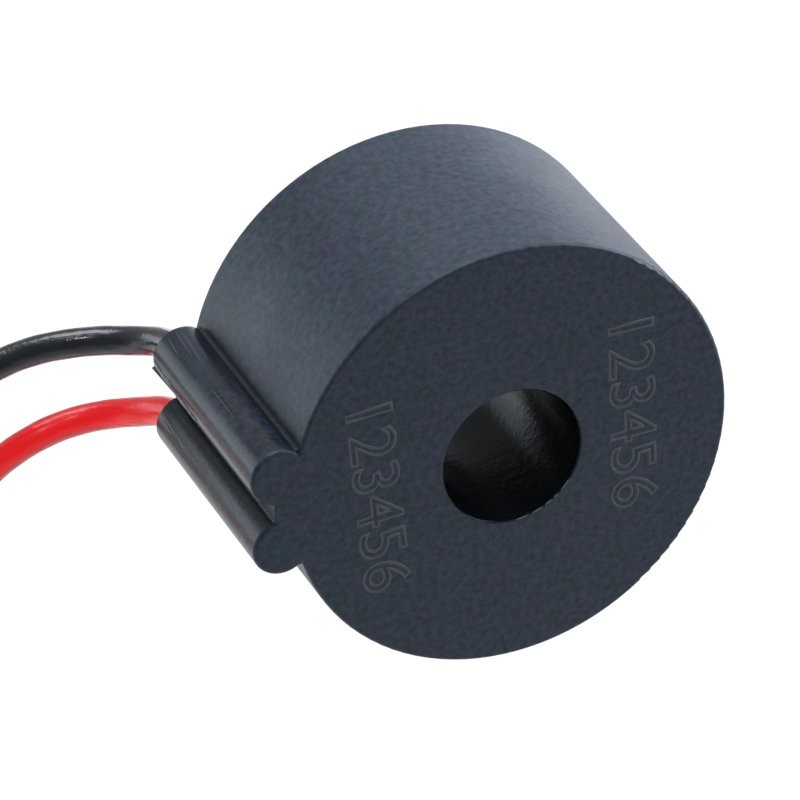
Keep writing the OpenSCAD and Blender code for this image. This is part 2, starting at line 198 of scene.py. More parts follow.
def smooth_route(points, step):
    """A natural cubic spline through the points, read at equal steps of length.

    Between two points it is a cubic in the distance along the chords. Its bend at every
    point comes from one set of linear equations, which make slope and bend continuous."""
    p = np.array(points, float)
    at = run_along(p)
    h = np.linalg.norm(np.diff(p, axis=0), axis=1)
    n = len(p)
    rows = np.eye(n)
    rise = np.zeros((n, 3))
    inner = np.arange(1, n - 1)
    rows[inner, inner - 1] = h[:-1]
    rows[inner, inner] = 2 * (h[:-1] + h[1:])
    rows[inner, inner + 1] = h[1:]
    slope = np.diff(p, axis=0) / h[:, None]
    rise[inner] = 6 * (slope[1:] - slope[:-1])
    bend = np.linalg.solve(rows, rise)

    fine = np.linspace(0, at[-1], FINE_POINTS)
    k = np.clip(np.searchsorted(at, fine) - 1, 0, n - 2)
    a, b, w = (at[k + 1] - fine)[:, None], (fine - at[k])[:, None], h[k][:, None]
    curve = (bend[k] * a**3 + bend[k + 1] * b**3) / (6 * w)
    curve += (p[k] / w - bend[k] * w / 6) * a + (p[k + 1] / w - bend[k + 1] * w / 6) * b
    run = run_along(curve)
    even = np.linspace(0, run[-1], int(round(run[-1] / step)) + 1)
    return np.stack([np.interp(even, run, curve[:, axis]) for axis in range(3)], -1)


paths, lengths = {}, {}
for color, steps in ROUTES.items():
    paths[color] = smooth_route([(RIB_END[color] + Vector(s)) * MM for s in steps], STEP)
    lengths[color] = float(np.linalg.norm(np.diff(paths[color], axis=0), axis=1).sum())
    print(color, "lead:", round(lengths[color] / MM, 2), "mm of insulation")

# %% [markdown]
# ## Carrying a profile along a path
#
# A frame of two sideways directions goes with each point of the path. To keep the tube
# from twisting, each direction is the one before it, made square to the path again. A
# curve with a round bevel would be quicker, but rings of our own let the radius change
# with length and angle.

# %% Sideways directions and the tube
def side_directions(path):
    """Two unit vectors at each point, square to the path, that don't turn round it."""
    way = np.gradient(path, axis=0)
    way /= np.linalg.norm(way, axis=1)[:, None]
    out = np.zeros_like(way)
    seed = np.cross(way[0], (1, 0, 0))
    out[0] = seed / np.linalg.norm(seed)
    for i in range(1, len(way)):
        flat = out[i - 1] - way[i] * (out[i - 1] @ way[i])
        out[i] = flat / np.linalg.norm(flat)
    return out, np.cross(way, out)


def full_turn(count):
    """Angles of count points spread evenly round a circle, the first one at zero."""
    return np.linspace(0, 2 * np.pi, count, endpoint=False)


def tube_rings(path, radius):
    """Ring i, angle a: path[i] + radius[i, a] * (cos a * side + sin a * other side)."""
    side, other = side_directions(path)
    a = full_turn(radius.shape[1])
    round_about = np.cos(a)[None, :, None] * side[:, None] + np.sin(a)[None, :, None] * other[:, None]
    return path[:, None] + radius[..., None] * round_about


def add_length_uv(piece, rings, path, radius):
    """A UV map in metres: U is the distance along the path and V the distance round it.
    Each face corner is worked out from its grid place, so the seam has no jump."""
    count, around = rings.shape[:2]
    run = run_along(path)
    i, j = np.meshgrid(np.arange(count - 1), np.arange(around), indexing="ij")
    corner_i = np.stack([i, i, i + 1, i + 1], -1).reshape(-1)
    corner_j = np.stack([j, j + 1, j + 1, j], -1).reshape(-1)
    uv = np.zeros((len(piece.data.loops), 2))
    uv[: len(corner_i), 0] = run[corner_i]
    uv[: len(corner_i), 1] = corner_j * (2 * np.pi * radius / around)
    layer = piece.data.uv_layers.new(name="along")
    layer.data.foreach_set("uv", uv.reshape(-1))

# %% [markdown]
# ## The insulated leads
#
# Hook-up wire of this size is 1.3 mm thick over soft PVC. The insulation is pressed on
# hot, so it shows the faint turns of the strands inside it. Where it was stripped, the
# cut is a little ragged and rolls in slightly. All of this is radius as a function of
# length and angle, so one tube holds it.

# %% Make both leads
LEAD_RADIUS = 0.65 * MM
OUTER_STRANDS = 6
STRAND_TURN = 9 * MM
STRAND_SHOW = 0.004 * MM
CUT_ROLL = 0.06 * MM
ROLL_REACH = 0.6  # how far the rolled edge stands out, as a share of CUT_ROLL
CUT_RAGGED = 0.03 * MM
CUT_RAGS = 13
HIDDEN_END = 0.2  # how far the end in the potting is drawn out, as a share of STEP
AROUND = 48
LEAD_SEEDS = {"black": 3, "red": 4}


def insulation(color, seed):
    """Radius = lead radius + one soft wave for each outer strand, turning once in
    STRAND_TURN, with the end rings pulled in by CUT_ROLL to close the cut."""
    rng = np.random.default_rng(seed)
    path = paths[color]
    run = np.arange(len(path)) * STEP
    a = full_turn(AROUND)
    turning = OUTER_STRANDS * (a[None] - 2 * np.pi * run[:, None] / STRAND_TURN)
    radius = LEAD_RADIUS + STRAND_SHOW * np.cos(turning)
    end_way = path[-1] - path[-2]
    end_way /= np.linalg.norm(end_way)
    rags = np.interp(a, np.linspace(0, 2 * np.pi, CUT_RAGS), rng.normal(0, 1, CUT_RAGS))
    ragged = CUT_RAGGED * rags
    rings = tube_rings(path, radius)
    rings[-1] += end_way * ragged[:, None]
    roll = tube_rings(path[-2:], np.repeat(radius[-1:] - CUT_ROLL, 2, 0))[1:]
    roll = roll + end_way * (ragged[:, None] + CUT_ROLL * ROLL_REACH)
    near = tube_rings(path[:2], np.repeat(radius[:1] - CUT_ROLL, 2, 0))[:1]
    rings = np.concatenate([near - (path[1] - path[0]) * HIDDEN_END, rings, roll])
    piece = closed_piece(f"{color}_insulation", [rings], smooth_angle=50)
    line = np.concatenate([path[:1], path, path[-1:]])
    add_length_uv(piece, rings, line, LEAD_RADIUS)
    return piece


insulations = {color: insulation(color, seed) for color, seed in LEAD_SEEDS.items()}

# %% [markdown]
# ## The stripped and tinned ends
#
# Seven strands, one in the middle and six round it, are twisted and dipped in solder.
# Near the insulation the strands still show. Towards the tip the solder fills the
# valleys between them and ends in a small round drop. Seven thin tubes would need the
# solder as one more piece, so the bundle's outline is one tube and the solder is a
# change of its radius.

# %% Make both tinned ends
STRAND_RADIUS = 0.08 * MM
TIP_LENGTH = 5 * MM
TIP_TURN = 6.5 * MM
TIP_TUCK = 0.3 * MM
TIP_RINGS = 90
TIP_AROUND = 72
FILLED_AT_CUT = 0.35
FILLED_AT_TIP = 0.95
SOLDER_LEVEL = 0.97  # of the bundle's radius
DROP_LENGTH = 1.6  # of the bundle's radius
TIP_POINT = 0.004 * MM


def tinned_strands(color):
    """Six circles of STRAND_RADIUS, two radii out from the middle, seen from the middle:
    their outline is 2r cos t + sqrt(r^2 - (2r sin t)^2), with t the angle from the nearest
    circle's centre. Solder raises the valleys towards the outline's own largest radius."""
    end = paths[color][-1]
    down = np.array([0, 0, -1.0])
    bundle = 3 * STRAND_RADIUS
    run = np.linspace(-TIP_TUCK, TIP_LENGTH, TIP_RINGS)
    turned = full_turn(TIP_AROUND)[None] - 2 * np.pi * run[:, None] / TIP_TURN
    t = (turned + np.pi / 6) % (np.pi / 3) - np.pi / 6
    inside = np.clip(STRAND_RADIUS**2 - (2 * STRAND_RADIUS * np.sin(t)) ** 2, 0, None)
    strands = 2 * STRAND_RADIUS * np.cos(t) + np.sqrt(inside)
    gain = FILLED_AT_TIP - FILLED_AT_CUT
    filled = np.clip(FILLED_AT_CUT + gain * run / TIP_LENGTH, FILLED_AT_CUT, FILLED_AT_TIP)[:, None]
    radius = strands * (1 - filled) + bundle * SOLDER_LEVEL * filled
    drop = np.clip((TIP_LENGTH - run) / (bundle * DROP_LENGTH), 0, 1)[:, None]
    radius = radius * np.sqrt(1 - (1 - drop) ** 2)
    path = end + run[:, None] * down
    rings = tube_rings(path, np.maximum(radius, TIP_POINT))
    return closed_piece(f"{color}_tinned_end", [rings], smooth_angle=60)


tinned_ends = {color: tinned_strands(color) for color in paths}

# %% [markdown]
#
# Each lead is a free cord, a fixed length of something flexible. The frame's own lead and
# its tip are hidden here, and each lead's length is printed.

for color, piece in insulations.items():
    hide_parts(f"{color}_lead")
    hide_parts(f"{color}_lead_tip")
    print(color, "cord declared,", round(lengths[color] / MM, 1), "mm")

# %% [markdown]
# ## Epoxy collars
#
# Liquid epoxy climbs a little way up whatever stands in it before it cures. Round each
# lead that leaves a small hollow-sided collar, between the insulation and the wall of
# the rib's channel. It is a profile turned about the lead, and closes on itself like a
# doughnut.

# %% Make the two collars
CHANNEL_RADIUS = 0.74 * MM
COLLAR_FOOT_Y = 5.18 * MM
COLLAR_HEIGHT = 0.16 * MM
COLLAR_DEPTH = 0.05 * MM
COLLAR_STEPS = 10


def collar(color):
    """A ring turned about the lead. From the channel's wall in to the lead its height is
    COLLAR_HEIGHT * (1 - cos(90 degrees * s)), which is hollow and steepest at the lead."""
    s = np.linspace(0, 1, COLLAR_STEPS)
    lead = LEAD_RADIUS + STRAND_SHOW
    radius = np.concatenate([CHANNEL_RADIUS + (lead - CHANNEL_RADIUS) * s, [lead, CHANNEL_RADIUS]])
    height = np.concatenate([COLLAR_HEIGHT * (1 - np.cos(s * np.pi / 2)), [-COLLAR_DEPTH] * 2])
    a = full_turn(AROUND)
    middle = RIB_END[color] * MM
    x = middle.x + radius[:, None] * np.sin(a)
    z = middle.z + radius[:, None] * np.cos(a)
    y = np.repeat(COLLAR_FOOT_Y + height[:, None], AROUND, 1)
    return closed_piece(f"{color}_epoxy_collar", [np.stack([x, y, z], -1)], looped=True)


collars = [collar(color) for color in paths]

# %% [markdown]
# ## Traces of moulding
#
# The ribs dragged against the steel when the case left its mould. That raised fine
# threads along them and tore the flash at the parting line into scraps. The pin that
# shaped the window left a broken hair of burr at the front mouth. Every one of these is
# a spindle: a tube along a path that swells from a point and comes back to a point.

# %% A spindle, and a path along a rib
SPINDLE_POINT = 0.002 * MM
SPINDLE_AROUND = 10
SWELL_LIMITS = (0.3, 2)
RIB_POINTS = 40


def spindle(path, thick, rough=0.0, seed=0):
    """Radius = thick * sqrt(sin(pi s)), times 1 + rough * noise, along s from 0 to 1."""
    s = np.linspace(0, 1, len(path))
    noise = np.random.default_rng(seed).normal(0, 1, (len(path), SPINDLE_AROUND))
    swell = (1 + rough * noise).clip(*SWELL_LIMITS)
    radius = thick * np.sqrt(np.sin(np.pi * s).clip(0))[:, None] * swell
    return tube_rings(path, radius + SPINDLE_POINT)


def along_rib(side, turn0, turn1, y0, y1, lift):
    """Points on a rib: RIB_RADIUS + lift out from its middle line, the turn and Y both
    changing evenly from start to end."""
    turn = np.radians(np.linspace(turn0, turn1, RIB_POINTS))
    out = RIB_RADIUS + lift
    x = RIB_X - out * np.cos(turn)
    z = side * RIB_Z + out * np.sin(turn)
    return np.stack([x, np.linspace(y0, y1, RIB_POINTS), z], -1) * MM

# %% Threads and torn flash
# rib (1 upper, -1 lower), turn from straight out at its start and end in degrees,
# Y at its start and end in mm, thickness in mm
THREADS = [
    (1, 97, 93, 5.1, 2.3, 0.018), (1, 85, 79, 4.7, 1.9, 0.026), (1, 76, 71, 5.2, 2.9, 0.020),
    (1, 63, 63, 0.6, -2.4, 0.018), (1, 58, 52, 5.2, 3.4, 0.022), (1, 40, 37, 5.0, 1.2, 0.014),
    (-1, 29, 21, 4.9, 2.7, 0.028), (-1, 16, 20, 5.1, 2.4, 0.024), (-1, 37, 31, 5.0, 3.3, 0.020),
    (-1, 8, 11, 4.2, 0.4, 0.014), (-1, 61, 57, 5.0, 2.0, 0.016),
]
TORN = [
    (1, 0, -9, 5.3, 4.2, 0.040), (1, -6, -14, 4.7, 3.0, 0.050), (1, -13, -17, 3.4, 2.1, 0.045),
    (1, -12, -15, 2.6, 1.3, 0.055), (1, -15, -16, 1.6, 0.4, 0.040), (1, -4, -6, 3.9, 3.2, 0.030),
]
TORN_LIFT_MM = 0.02
TORN_ROUGH = 0.35

thread_rings = [spindle(along_rib(*t[:5], 0.0), t[5] * MM) for t in THREADS]
threads = closed_piece("drag_threads", thread_rings)
torn_rings = [spindle(along_rib(*t[:5], TORN_LIFT_MM), t[5] * MM, TORN_ROUGH, n)
              for n, t in enumerate(TORN)]
torn = closed_piece("torn_flash", torn_rings, smooth_angle=20)

# %% Burr at the window's mouth
# start and end in degrees from +X towards +Z, thickness in mm
BURR_ARCS = [
    (-88, -76, 0.016), (-74, -64, 0.020), (-62, -55, 0.026), (-53, -49, 0.020), (-46, -35, 0.022),
]
BURR_RADIUS = 3.2
BURR_ROUGH = 0.3
BURR_POINTS = 30

burr_rings = []
for n, (start, stop, thick) in enumerate(BURR_ARCS):
    a = np.radians(np.linspace(start, stop, BURR_POINTS))
    level = np.full(BURR_POINTS, FACE_Y)
    arc = np.stack([BURR_RADIUS * np.cos(a), level, BURR_RADIUS * np.sin(a)], -1) * MM
    burr_rings.append(spindle(arc, thick * MM, BURR_ROUGH, n))
burr = closed_piece("window_burr", burr_rings, smooth_angle=20)

# %% [markdown]
# ## Marks on the face
#
# Two rows of outlined figures run down the face, as a laser draws them. They are plain
# counting numbers and stand for nothing. Each row starts as text whose curves have a
# round bevel and no fill. It becomes a mesh, is stretched to its own length and height,
# is pressed almost flat, and only then is laid on the face.

# %% Lay the marks
MARK_TEXT = "123456"
MARK_STROKE = 0.022  # of the text's own size
MARK_LENGTH = 9.2 * MM
MARK_HEIGHT = 2.25 * MM
MARK_PROUD = 0.012 * MM
# X and Z of the row's middle in mm, lean in degrees
MARK_PLACES = {"left": ((-6.15, -0.5), 4.4), "right": ((5.6, 0.6), 1.5)}


def outlined_figures(name):
    """A mesh of MARK_TEXT as bare outlines, made from text whose curves have a bevel."""
    text = bpy.data.curves.new(name, "FONT")
    text.body = MARK_TEXT
    text.fill_mode = "NONE"
    text.bevel_depth = MARK_STROKE
    text.bevel_resolution = 1
    holder = bpy.data.objects.new(name, text)
    bpy.context.scene.collection.objects.link(holder)
    seen = bpy.context.evaluated_depsgraph_get()
    mesh = bpy.data.meshes.new_from_object(holder.evaluated_get(seen))
    bpy.data.objects.remove(holder)
    return mesh


def marks(side, middle, lean):
    """The row reads downwards, lean degrees off straight down, with the figures' tops
    towards +X. Point (u, v, w) of the row goes to middle + u * read + v * up - w * Y."""
    mesh = outlined_figures(f"{side}_figures")
    p = np.zeros(3 * len(mesh.vertices))
    mesh.vertices.foreach_get("co", p)
    p = p.reshape(-1, 3)
    low, high = p.min(0), p.max(0)
    u, v, w = ((p - (low + high) / 2) / (high - low) * (MARK_LENGTH, MARK_HEIGHT, 2 * MARK_PROUD)).T
    lean = math.radians(lean)
    read = np.array([math.sin(lean), 0, -math.cos(lean)])
    up = np.array([math.cos(lean), 0, math.sin(lean)])
    place = np.array([middle[0], FACE_Y, middle[1]]) * MM
    laid = place + u[:, None] * read + v[:, None] * up - w[:, None] * np.array([0, 1, 0])
    mesh.vertices.foreach_set("co", laid.reshape(-1))
    mesh.update()
    mesh.materials.clear()
    return seated(f"{side}_face_marks", mesh)


face_marks = [marks(side, *where) for side, where in MARK_PLACES.items()]

# %% [markdown]
# ## Colours and nodes
#
# Colours are written as the usual web hex values. Blender works with linear light, so
# one function converts them. Another adds a shader node with its settings and links, so
# that each material below reads like a recipe.

# %% Helpers for materials
def tint(code, alpha=1.0):
    """sRGB hex to linear: c / 12.92 below 0.04045, else ((c + 0.055) / 1.055) ^ 2.4."""
    c = np.array([int(code[i : i + 2], 16) / 255 for i in (1, 3, 5)])
    linear = np.where(c <= 0.04045, c / 12.92, ((c + 0.055) / 1.055) ** 2.4)
    return (*linear.tolist(), alpha)


def node(tree, kind, settings=None, **inputs):
    """Adds one node. settings are its own properties. Each input is a value, or another
    node's output socket to link. Names are the sockets' names with _ for a space, and
    i0, i1 and so on are sockets by number, where several share a name."""
    made = tree.nodes.new(kind)
    for key, value in (settings or {}).items():
        setattr(made, key, value)
    for key, value in inputs.items():
        numbered = key[0] == "i" and key[1:].isdigit()
        socket = made.inputs[int(key[1:]) if numbered else key.replace("_", " ")]
        if isinstance(value, bpy.types.NodeSocket):
            tree.links.new(value, socket)
        else:
            socket.default_value = value
    return made


def finish_named(name):
    """A new material, and its node tree with nothing in it."""
    made = bpy.data.materials.new(name)
    made.use_nodes = True
    made.node_tree.nodes.clear()
    return made, made.node_tree


def per_mm(size_mm):
    """The Scale that gives a pattern a repeat of size_mm, since coordinates are metres."""
    return 1 / (size_mm * MM)


def give_finish(solid, finish):
    """Gives a finish to one of the frame's own solids and says so."""
    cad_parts[solid].material_slots[0].material = finish
    print(f"{solid}: {finish.name}, {len(finish.node_tree.nodes)} nodes")

# %% [markdown]
# ## Moulded case plastic
#
# The case is injection-moulded polyester (PBT), dyed blue-black. The mould was
# spark-eroded, which leaves a fine even grain, so the plastic looks matt straight on and
# pale at a glancing angle. Handling and the flow of the plastic leave faint cloudy
# patches. An image laid over the case would show seams, so three noises do this: a fine
# one for the grain, a middle one for the mottle, and a wide one for the clouds. A fourth
# is long along Y and draws the drag lines of the ribs.

# %% Case plastic: its patterns
GRAIN_MM = 0.32  # the coarsest of five octaves, of which the finest is the real 0.02 mm grain
MOTTLE_MM = 1.1
CLOUD_MM = 5.0
DRAG_MM = 0.24
DRAG_LENGTH_MM = 5.0

case_finish, tree = finish_named("spark_eroded_black_polyester")
place = node(tree, "ShaderNodeTexCoord").outputs["Object"]
grain = node(tree, "ShaderNodeTexNoise", Vector=place, Scale=per_mm(GRAIN_MM), Detail=4.0,
             Roughness=0.62)
mottle = node(tree, "ShaderNodeTexNoise", Vector=place, Scale=per_mm(MOTTLE_MM), Detail=2.0)
cloud = node(tree, "ShaderNodeTexNoise", Vector=place, Scale=per_mm(CLOUD_MM), Detail=2.0)
drag_lines = node(tree, "ShaderNodeMapping", Vector=place,
                  Scale=(per_mm(DRAG_MM), per_mm(DRAG_LENGTH_MM), per_mm(DRAG_MM)))
drag = node(tree, "ShaderNodeTexNoise", Vector=drag_lines.outputs["Vector"], Scale=1.0, Detail=3.0)
print("case patterns in mm:", GRAIN_MM, MOTTLE_MM, CLOUD_MM, DRAG_MM, "by", DRAG_LENGTH_MM)

# %% [markdown]
# ## Where the case is smoother
#
# Two places are smoother and darker. The window was shaped by a polished pin, so its
# zone is found from the distance to the window's axis; the window's darker colour is
# painted shade in the recess. The ribs were rubbed as they left the mould. Their zone is
# found from the distance to the ribs' middle lines, where the absolute value of Z lets one
# distance serve both ribs. The front face is left out of it, because the ribs' ends are
# as matt as the rest of the face.

# %% Case plastic: its zones
WINDOW_FADE = (3.17 * MM, 3.27 * MM)
RIB_FADE = (0.1, 0.55)  # in mm, out from the rib's surface
FACE_FADE = (0.05, 0.3)  # in mm, back from the face

across = node(tree, "ShaderNodeVectorMath", {"operation": "MULTIPLY"}, i0=place, i1=(1.0, 0.0, 1.0))
from_axis = node(tree, "ShaderNodeVectorMath", {"operation": "LENGTH"}, i0=across.outputs["Vector"])
window = node(tree, "ShaderNodeMapRange", Value=from_axis.outputs["Value"],
              From_Min=WINDOW_FADE[0], From_Max=WINDOW_FADE[1], To_Min=1.0, To_Max=0.0)
parts = node(tree, "ShaderNodeSeparateXYZ", Vector=place)
height = node(tree, "ShaderNodeMath", {"operation": "ABSOLUTE"}, i0=parts.outputs["Z"])
flat = node(tree, "ShaderNodeCombineXYZ", X=parts.outputs["X"], Z=height.outputs[0])
from_rib = node(tree, "ShaderNodeVectorMath", {"operation": "DISTANCE"}, i0=flat.outputs["Vector"],
                i1=(RIB_X * MM, 0.0, RIB_Z * MM))
on_rib = node(tree, "ShaderNodeMapRange", Value=from_rib.outputs["Value"],
              From_Min=(RIB_RADIUS + RIB_FADE[0]) * MM, From_Max=(RIB_RADIUS + RIB_FADE[1]) * MM,
              To_Min=1.0, To_Max=0.0)
off_face = node(tree, "ShaderNodeMapRange", Value=parts.outputs["Y"],
                From_Min=(FACE_Y + FACE_FADE[0]) * MM, From_Max=(FACE_Y + FACE_FADE[1]) * MM)
ribs = node(tree, "ShaderNodeMath", {"operation": "MULTIPLY"}, i0=on_rib.outputs["Result"],
            i1=off_face.outputs["Result"])
print("window zone within", WINDOW_FADE[1] / MM, "mm of the axis")

# %% [markdown]
# ## The case's colour
#
# Two hues of one dye change with the mottle, and the grain makes them lighter and
# darker. The ribs fade from that grain at the front to drag lines at the rear. The window
# is darker all over, which is painted shade in its recess. An occlusion node darkens
# whatever lies within a millimetre of an inner corner, which is painted shade.

# %% Case plastic: its colour
RUBBED_FROM = -3.0 * MM
RUBBED_TO = 4.0 * MM
# how light the window's colour is: painted shade in the recess
WINDOW_PAINTED_SHADE = 0.12
CORNER_REACH = 1.0 * MM
NEAR_SAMPLES = 6

hue = node(tree, "ShaderNodeMapRange", Value=mottle.outputs["Fac"], From_Min=0.35, From_Max=0.65)
tone = node(tree, "ShaderNodeMix", {"data_type": "RGBA"}, Factor=hue.outputs["Result"],
            A=tint("#2a3e49"), B=tint("#353b4f"))
light = node(tree, "ShaderNodeMapRange", Value=grain.outputs["Fac"], From_Min=0.3, From_Max=0.7,
             To_Min=0.45, To_Max=1.55)
toward_rear = node(tree, "ShaderNodeMapRange", Value=parts.outputs["Y"], From_Min=RUBBED_FROM,
                   From_Max=RUBBED_TO, To_Min=0.15, To_Max=0.85)
rubbing = node(tree, "ShaderNodeMix", Factor=toward_rear.outputs["Result"], A=grain.outputs["Fac"],
               B=drag.outputs["Fac"])
rub_light = node(tree, "ShaderNodeMapRange", Value=rubbing.outputs["Result"], From_Min=0.35,
                 From_Max=0.65, To_Min=0.15, To_Max=1.1)
rib_light = node(tree, "ShaderNodeMix", Factor=ribs.outputs[0], A=light.outputs["Result"],
                 B=rub_light.outputs["Result"])
# in the window the grain's lightness gives way to a flat painted shade
grain_and_window_shade = node(tree, "ShaderNodeMix", Factor=window.outputs["Result"],
                 A=rib_light.outputs["Result"], B=WINDOW_PAINTED_SHADE)
# painted shade: the occlusion node darkens the colour within CORNER_REACH of an inner corner
corner = node(tree, "ShaderNodeAmbientOcclusion", {"samples": NEAR_SAMPLES}, Distance=CORNER_REACH)
painted_corner_shade = node(tree, "ShaderNodeMapRange", Value=corner.outputs["AO"], From_Min=0.35, From_Max=0.85,
             To_Min=0.15, To_Max=1.0)
depth = node(tree, "ShaderNodeMath", {"operation": "MULTIPLY"}, i0=grain_and_window_shade.outputs["Result"],
             i1=painted_corner_shade.outputs["Result"])
shade = node(tree, "ShaderNodeMix", {"data_type": "RGBA", "blend_type": "MULTIPLY"},
             Factor=1.0, A=tone.outputs["Result"], B=depth.outputs[0])
print("case hues are split by a mottle of", MOTTLE_MM, "mm")

# %% [markdown]
# ## The case's gloss and relief
#
# Roughness follows the clouds on the matt walls and is lower on the rubbed ribs and on
# the window's polished wall. In the window the specular tint goes grey, which dims what its
# wall mirrors: a painted shade on the reflection. The relief is the grain, or the drag
# lines on the ribs. A bevel node rounds the look of the sharp edges, as the mould's own
# edges are, with no change to the solid.

# %% Case plastic: its gloss, its relief and the shader
RIB_ROUGHNESS = 0.27
WINDOW_ROUGHNESS = 0.22
EDGE_RADIUS = 0.15 * MM
GRAIN_DEPTH = 0.03 * MM

matt = node(tree, "ShaderNodeMapRange", Value=cloud.outputs["Fac"], From_Min=0.3, From_Max=0.7,
            To_Min=0.40, To_Max=0.50)
rubbed = node(tree, "ShaderNodeMix", Factor=ribs.outputs[0], A=matt.outputs["Result"], B=RIB_ROUGHNESS)
rough = node(tree, "ShaderNodeMix", Factor=window.outputs["Result"], A=rubbed.outputs["Result"],
             B=WINDOW_ROUGHNESS)
relief = node(tree, "ShaderNodeMix", Factor=ribs.outputs[0], A=grain.outputs["Fac"],
              B=rubbing.outputs["Result"])
eased = node(tree, "ShaderNodeBevel", {"samples": NEAR_SAMPLES}, Radius=EDGE_RADIUS)
bump = node(tree, "ShaderNodeBump", Height=relief.outputs["Result"], Strength=0.5, Distance=GRAIN_DEPTH,
            Normal=eased.outputs["Normal"])
# painted shade: a grey specular tint dims what the window's wall mirrors
window_reflection_shade = node(tree, "ShaderNodeMix", {"data_type": "RGBA"}, Factor=window.outputs["Result"],
            A=tint("#ffffff"), B=tint("#8c949c"))
plastic = node(tree, "ShaderNodeBsdfPrincipled", Base_Color=shade.outputs["Result"],
               Roughness=rough.outputs["Result"], Specular_IOR_Level=0.4,
               Specular_Tint=window_reflection_shade.outputs["Result"], Normal=bump.outputs["Normal"])
node(tree, "ShaderNodeOutputMaterial", Surface=plastic.outputs["BSDF"])
give_finish("case", case_finish)

# %% [markdown]
# ## Bruised and marked plastic
#
# Where the plastic is torn it goes pale, because light scatters in the stretched skin. The
# torn flash is drawn paler still, as painted light on scraps that sit on the shaded side,
# and the window burr's pale shade is partly a painted highlight along the mouth's bright
# edge. A laser mark is foamed plastic, a matt grey a little lighter than the face. These
# scraps are so small that a patchy colour is all the eye can find on them.

# %% Materials for scraps and marks
BRUISE_MM = 0.2


def bruised(name, deep, pale, roughness):
    """The plastic's colour broken up between two shades, in patches of BRUISE_MM."""
    made, tree = finish_named(name)
    place = node(tree, "ShaderNodeTexCoord").outputs["Object"]
    patch = node(tree, "ShaderNodeTexNoise", Vector=place, Scale=per_mm(BRUISE_MM), Detail=2.0)
    tone = node(tree, "ShaderNodeMix", {"data_type": "RGBA"}, Factor=patch.outputs["Fac"],
                A=tint(deep), B=tint(pale))
    skin = node(tree, "ShaderNodeBsdfPrincipled", Base_Color=tone.outputs["Result"], Roughness=roughness)
    node(tree, "ShaderNodeOutputMaterial", Surface=skin.outputs["BSDF"])
    return made


# torn flash: stress-whitened pale, raised further as painted light for its shaded side
torn.data.materials.append(bruised("torn_polyester_with_painted_light", "#5a6670", "#cbd6da", 0.40))
threads.data.materials.append(bruised("dragged_polyester", "#2f3a44", "#5b666f", 0.35))
# window burr: its pale shade is partly broken plastic, partly a painted highlight of the bright mouth
# edge
burr.data.materials.append(bruised("broken_polyester_burr_with_painted_highlight", "#4a545c", "#b9c0c2", 0.35))
laser_mark = bruised("laser_foamed_polyester", "#4a5058", "#5f666b", 0.6)
for piece in face_marks:
    piece.data.materials.append(laser_mark)
for piece in (torn, threads, burr, *face_marks):
    print(piece.name, "has", piece.data.materials[0].name)

# %% [markdown]
# ## Lead insulation
#
# Plasticised PVC comes out of its die with a smooth skin that is glossy along its length.
# Tiny die lines run along it, so the bump noise is stretched along U. Some plasticiser
# sweats out and lies on the skin as a film. A coat with the same relief stands for it,
# and sharpens the highlights over a softer body. The red is only lightly dyed and light
# goes some way into it, so part of that light is transmitted.

# %% Insulation materials
DIE_LINE_MM = 0.12
DIE_LINE_LENGTH_MM = 6.0
SHADE_PATCH_MM = 1.6
PIT_MM = 0.22
SKIN_DEPTH = 0.02 * MM
ROUGHNESS_SPREAD = 0.06


def pvc(name, deep, pale, roughness, gloss, clear=0.0):
    """PVC mottled softly between two shades, with lines DIE_LINE_MM apart along the lead.
    gloss is how much plasticiser film lies on the skin, and clear is the share of light
    that goes through instead of back."""
    made, tree = finish_named(name)
    along = node(tree, "ShaderNodeUVMap", {"uv_map": "along"}).outputs["UV"]
    drawn = node(tree, "ShaderNodeMapping", Vector=along,
                 Scale=(per_mm(DIE_LINE_LENGTH_MM), per_mm(DIE_LINE_MM), 1.0))
    lines = node(tree, "ShaderNodeTexNoise", Vector=drawn.outputs["Vector"], Scale=1.0, Detail=3.0)
    patches = node(tree, "ShaderNodeTexNoise", Vector=along, Scale=per_mm(SHADE_PATCH_MM), Detail=2.0)
    color = node(tree, "ShaderNodeMix", {"data_type": "RGBA"}, Factor=patches.outputs["Fac"],
                 A=tint(deep), B=tint(pale))
    pits = node(tree, "ShaderNodeTexNoise", Vector=along, Scale=per_mm(PIT_MM), Detail=1.0)
    skin_height = node(tree, "ShaderNodeMath", {"operation": "ADD"}, i0=lines.outputs["Fac"],
                       i1=pits.outputs["Fac"])
    bump = node(tree, "ShaderNodeBump", Height=skin_height.outputs[0], Strength=0.7, Distance=SKIN_DEPTH)
    rough = node(tree, "ShaderNodeMapRange", Value=patches.outputs["Fac"],
                 To_Min=roughness - ROUGHNESS_SPREAD, To_Max=roughness + ROUGHNESS_SPREAD)
    skin = node(tree, "ShaderNodeBsdfPrincipled", Base_Color=color.outputs["Result"],
                Roughness=rough.outputs["Result"], Normal=bump.outputs["Normal"],
                Transmission_Weight=clear, Coat_Weight=gloss, Coat_Roughness=0.1,
                Coat_Normal=bump.outputs["Normal"])
    node(tree, "ShaderNodeOutputMaterial", Surface=skin.outputs["BSDF"])
    return made


insulations["black"].data.materials.append(
    pvc("extruded_black_pvc", "#10171f", "#1c252e", 0.26, 0.6))
insulations["red"].data.materials.append(
    pvc("extruded_red_pvc", "#fb0a14", "#ff1a24", 0.34, 0.3, clear=0.8))
print("die lines", DIE_LINE_MM, "mm apart on", ", ".join(p.name for p in insulations.values()))

# %% [markdown]
# ## Solder-dipped copper
#
# The stripped strands were dipped in molten solder, which sets bright but not mirror
# smooth. It is a metal, so it keeps the default IOR and its colour tints what it
# mirrors. One noise of small ripples sets colour, roughness and relief together, because
# on the real thing all three come from the same ripples.

# %% Tinned strands
RIPPLE_MM = 0.3
RIPPLE_DEPTH = 0.01 * MM

